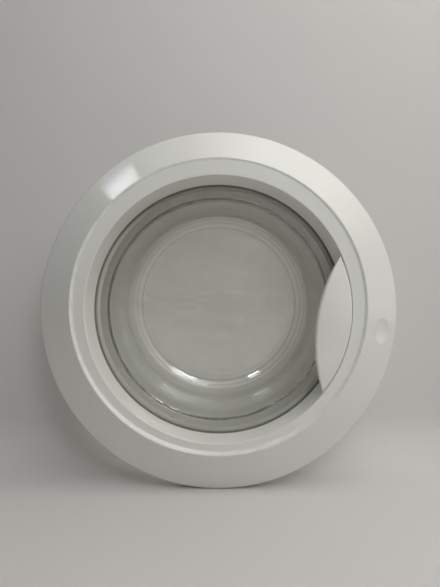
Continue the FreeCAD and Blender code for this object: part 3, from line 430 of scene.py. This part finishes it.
# Rear frame and hinge bushes
# The ring behind is plain white plastic with a fine spark-eroded grain, and clamps the glass. The two bushes
# are moulded from natural acetal and pushed into the barrel of the hinge leaf.
REAR_WHITE = (0.74, 0.74, 0.71)
REAR_DUSTY = (0.66, 0.65, 0.60)
ACETAL = (0.72, 0.71, 0.65)
ACETAL_DUSTY = (0.60, 0.58, 0.52)
DULL_PLASTIC = (0.42, 0.6)
SPARK_GRAIN = 0.00006


def grained_plastic(name, fresh, dusty):
    """Dull plastic with a fine even grain and a little dust."""
    finish, tree, shader = blank_finish(name)
    dust = patches(tree, scale=25, detail=5, noise=(0.4, 0.75))
    tree.links.new(tint(tree, dust, fresh, dusty), shader.inputs["Base Color"])
    dullness = patches(tree, scale=120, detail=4, noise=(0.3, 0.7), gives=DULL_PLASTIC)
    tree.links.new(dullness, shader.inputs["Roughness"])
    roughen(tree, shader, grain(tree, scale=1800, detail=2), SPARK_GRAIN)
    return finish


dress(["rear_frame"], grained_plastic("grained_white", REAR_WHITE, REAR_DUSTY))
dress(["hinge_bush_upper", "hinge_bush_lower"], grained_plastic("natural_acetal", ACETAL, ACETAL_DUSTY))

# Metal of the hinge, the latch and the screws
# Bracket, leaf and latch channel are bent from zinc-plated steel, the pins are ground steel, clips and
# springs dark spring steel, the hook is a zinc die casting, and the screws are plated.
ROLLED = (1, 1, 0.08)
TURNED = (0.1, 0.1, 1)
EVEN = (1, 1, 1)
MARK_NOISE = (0.3, 0.7)
MARK_DEPTH = 0.00003


def worn_metal(name, bright, dull, roughness, lay):
    """Metal with cloudy plating, rolling or turning marks and duller patches."""
    finish, tree, shader = blank_finish(name)
    shader.inputs["Metallic"].default_value = 1
    clouds = patches(tree, scale=60, detail=6, noise=(0.35, 0.7))
    tree.links.new(tint(tree, clouds, bright, dull), shader.inputs["Base Color"])
    marks = grain(tree, scale=400, detail=3, stretch=lay)
    tree.links.new(spread(tree, marks, *MARK_NOISE, *roughness), shader.inputs["Roughness"])
    roughen(tree, shader, marks, MARK_DEPTH)
    return finish


dress(["hinge_bracket", "hinge_leaf", "latch_bracket"],
      worn_metal("zinc_plate", bright=(0.66, 0.66, 0.63), dull=(0.50, 0.50, 0.47),
                 roughness=(0.28, 0.46), lay=ROLLED))
dress(["hinge_pin", "handle_pin", "latch_hook_pin"],
      worn_metal("ground_steel", bright=(0.70, 0.70, 0.69), dull=(0.58, 0.58, 0.56),
                 roughness=(0.18, 0.32), lay=TURNED))
dress(["hinge_pin_clip", "handle_pin_clip", "latch_hook_pin_clip", "handle_spring", "latch_hook_spring"],
      worn_metal("spring_steel", bright=(0.40, 0.39, 0.37), dull=(0.26, 0.25, 0.24),
                 roughness=(0.3, 0.45), lay=EVEN))
dress(["latch_hook"],
      worn_metal("die_cast_zinc", bright=(0.60, 0.60, 0.59), dull=(0.48, 0.48, 0.47),
                 roughness=(0.38, 0.55), lay=EVEN))
dress(["frame_screws", "hinge_leaf_screws", "latch_bracket_screws"],
      worn_metal("plated_screw", bright=(0.66, 0.65, 0.61), dull=(0.50, 0.49, 0.45),
                 roughness=(0.25, 0.42), lay=EVEN))

# Floor and backdrop
# One pale sheet over soft padding. The door stands on it and leans its bowl into the padding behind, so the
# sheet dips round the bowl. Seen from behind, the sheet is left out, so that the door's back shows.
FLOOR = rim_low.z
SHEET_NEAR = -2.5
SHEET_HALF = 2.5
SHEET_TOP = 2.2
WALL = 0.068
BEND = 0.06
DIP = 0.048
DIP_INSIDE = 0.133
DIP_OUTSIDE = 0.172
DIP_START = WALL + 0.0005
DIP_FULL = WALL + 0.001
NEAR_ROWS = 12
BEND_ROWS = 16
FINE_ROWS = 100
FINE_HEIGHT = 0.40
TOP_ROWS = 10
SIDE_COLUMNS = 100
EVEN_HALF = 0.25
COLUMN_POWER = 2.4
SHEET_COLOUR = (0.73, 0.715, 0.71)
SHEET_ROUGHNESS = 0.9
SHEET_WAVES = 0.002
PASSED_ONCE = (0.5, 0.6)
bend_start = WALL - BEND
bend_top = FLOOR + BEND
fine_top = bend_top + FINE_HEIGHT

rows = []
for i in range(NEAR_ROWS):
    rows.append((SHEET_NEAR + (bend_start - SHEET_NEAR) * (1 - (1 - i / NEAR_ROWS) ** 3), FLOOR))
for i in range(BEND_ROWS + 1):
    turn = math.pi / 2 * i / BEND_ROWS
    rows.append((bend_start + BEND * math.sin(turn), bend_top - BEND * math.cos(turn)))
rows += [(WALL, bend_top + FINE_HEIGHT * i / FINE_ROWS) for i in range(1, FINE_ROWS + 1)]
rows += [(WALL, fine_top + (SHEET_TOP - fine_top) * (i / TOP_ROWS) ** 2) for i in range(1, TOP_ROWS + 1)]
columns = []
for i in range(-SIDE_COLUMNS, SIDE_COLUMNS + 1):
    share = abs(i / SIDE_COLUMNS)
    columns.append(math.copysign((SHEET_HALF - EVEN_HALF) * share ** COLUMN_POWER + EVEN_HALF * share, i))
corners = []
for y, z in rows:
    for x in columns:
        reach = math.hypot(x, z - door_axis.z - bottom_rise)
        fall = min(max((DIP_OUTSIDE - reach) / (DIP_OUTSIDE - DIP_INSIDE), 0), 1)
        corners.append((door_axis.x + x, y + DIP * fall * fall * (3 - 2 * fall), z))
width = len(columns)
strips = [(j * width + i, j * width + i + 1, (j + 1) * width + i + 1, (j + 1) * width + i)
          for j in range(len(rows) - 1) for i in range(width - 1)]
sheet = bpy.data.meshes.new("pale_sheet")
sheet.from_pydata(corners, [], strips)
sheet.shade_smooth()
sweep = put_in_scene("pale_sheet", sheet)


def pale_cloth(name):
    """Matt pale cloth with soft waves. Its back is clear, and so is the dip's front if seen from behind."""
    finish, tree, shader = blank_finish(name)
    shader.inputs["Base Color"].default_value = (*SHEET_COLOUR, 1)
    shader.inputs["Roughness"].default_value = SHEET_ROUGHNESS
    roughen(tree, shader, grain(tree, scale=6, detail=3), SHEET_WAVES)
    ray = add_node(tree, "LightPath")
    from_behind = spread(tree, ray.outputs["Transparent Depth"], *PASSED_ONCE, 0, 1)
    dip_back = combine(tree, "MULTIPLY", depth_share(tree, DIP_START, DIP_FULL), from_behind)
    dip_open = combine(tree, "MULTIPLY", dip_back, ray.outputs["Is Camera Ray"])
    side = add_node(tree, "NewGeometry")
    let_through(tree, shader, combine(tree, "MAXIMUM", dip_open, side.outputs["Backfacing"]), (1, 1, 1))
    return finish


sheet.materials.append(pale_cloth("pale_sheet"))

# Light and camera
# A broad warm window at the upper right that fades to its sides, a weak lamp by the camera, a thin ceiling
# tube at the upper left for the streak on the rim, and two small lamps for the glints in the bowl's corner.
# One lamp lights the door's back. The camera stands close in front, on the door's own axis.
GLINT_DISTANCE = 1.2
GLINT_LEAN = math.radians(32)
GLINT_HEIGHT = 0.22
WINDOW_MIDDLE = 0.5
WINDOW_FADE = 0.15
WINDOW_SIDE = (0.66, 0, 0.75)
ROOM_COLOUR = (0.97, 0.98, 1.0)
ROOM_FILL = 0.015
ROOM_DIM = 0.05
ROOM_BRIGHT = 0.9
ROOM_PALE = 0.6
ROOM_TURN = (-0.1, 0.4)
PICTURE_HEIGHT = 587
FOCAL_PIXELS = 441
CAMERA_STAND = 0.5155
CAMERA_PITCH = math.radians(1.88)
CAMERA_YAW = math.radians(-0.17)


def lamp(name, place, width, height, power, colour):
    """A lamp that faces the door, with its width across the line to the door's axis."""
    light = bpy.data.lights.new(name, "AREA")
    light.shape = "RECTANGLE"
    light.size = width
    light.size_y = height
    light.energy = power
    light.color = colour
    back = (Vector(place) - door_axis).normalized()
    level = Vector((-back.z, 0, back.x)).normalized()
    hung = put_in_scene(name, light)
    hung.location = place
    hung.rotation_euler = Matrix((level, back.cross(level), back)).transposed().to_euler()
    return hung


def limit_light(hung, use, state, pieces):
    """Says which pieces a lamp lights (receiver) or which throw its shadows (blocker)."""
    group = bpy.data.collections.new(f"{hung.name}_{use}")
    for piece in pieces:
        group.objects.link(piece)
    for row in group.collection_objects:
        row.light_linking.link_state = state
    setattr(hung.light_linking, f"{use}_collection", group)


window = lamp("window_light", place=(0.730, -0.517, 1.064), width=2.0, height=1.1, power=16.0,
              colour=(1.0, 0.957, 0.90))
window.data.use_nodes = True
curtain = window.data.node_tree
pane = add_node(curtain, "NewGeometry")
pane_parts = add_node(curtain, "SeparateXYZ")
curtain.links.new(pane.outputs["Parametric"], pane_parts.inputs[0])
to_side = away_from(curtain, pane_parts.outputs["X"], WINDOW_MIDDLE)
fade = spread(curtain, to_side, WINDOW_FADE, WINDOW_MIDDLE, 1, 0)
curtain.links.new(fade, curtain.nodes["Emission"].inputs["Strength"])
for name, angle, width, power in (("window_pane", 60, 0.26, 13.0), ("lamp_glass", 121, 0.15, 8.0)):
    turn = math.radians(angle)
    aside = math.sin(GLINT_LEAN)
    line = Vector((aside * math.cos(turn), -math.cos(GLINT_LEAN), aside * math.sin(turn)))
    glint = lamp(name, door_axis + GLINT_DISTANCE * line, width, GLINT_HEIGHT, power, (1.0, 0.99, 0.97))
    glint.visible_camera = False
    glint.visible_diffuse = False
    limit_light(glint, "receiver", "INCLUDE", [glass])
lamp("room_light", place=(0.443, -0.972, 0.598), width=0.4, height=0.3, power=2.3, colour=(0.93, 1.0, 1.0))
lamp("ceiling_tube", place=(-0.825, -0.477, 1.266), width=0.36, height=0.012, power=0.55,
     colour=(0.90, 0.94, 1.0))
rear_light = lamp("rear_light", place=(0.70, 1.05, 0.85), width=0.8, height=0.8, power=7.0,
                  colour=(1.0, 0.985, 0.96))
rear_light.visible_camera = False
limit_light(rear_light, "blocker", "EXCLUDE", [sweep])
limit_light(rear_light, "receiver", "EXCLUDE", [sweep, glass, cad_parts["front_frame"]])

world = bpy.data.worlds.new("room")
world.use_nodes = True
air = world.node_tree
room = air.nodes["Background"]
room.inputs["Color"].default_value = (*ROOM_COLOUR, 1)
look = add_node(air, "TexCoord")
towards = add_node(air, "VectorMath", operation="DOT_PRODUCT")
towards.inputs[1].default_value = WINDOW_SIDE
air.links.new(look.outputs["Generated"], towards.inputs[0])
walls = spread(air, towards.outputs["Value"], *ROOM_TURN, ROOM_DIM, ROOM_BRIGHT)
ray = add_node(air, "LightPath")
mirrored = combine(air, "MAXIMUM", ray.outputs["Is Glossy Ray"], ray.outputs["Is Transmission Ray"])
plain = spread(air, ray.outputs["Is Camera Ray"], 0, 1, 0, ROOM_PALE)
seen = combine(air, "MAXIMUM", combine(air, "MULTIPLY", mirrored, walls), plain)
air.links.new(combine(air, "MAXIMUM", seen, ROOM_FILL), room.inputs["Strength"])

scene = bpy.context.scene
scene.world = world
scene.view_settings.view_transform = "Standard"
scene.cycles.max_bounces = 24
scene.cycles.glossy_bounces = 16
scene.cycles.transmission_bounces = 20

eye = bpy.data.cameras.new("photo_camera")
eye.sensor_fit = "VERTICAL"
eye.sensor_height = 36
eye.lens = eye.sensor_height * FOCAL_PIXELS / PICTURE_HEIGHT
eye.clip_start = 0.01
camera = put_in_scene("photo_camera", eye)
camera.location = (door_axis.x, -CAMERA_STAND, door_axis.z)
camera.rotation_euler = (math.pi / 2 + CAMERA_PITCH, 0, CAMERA_YAW)
scene.camera = camera
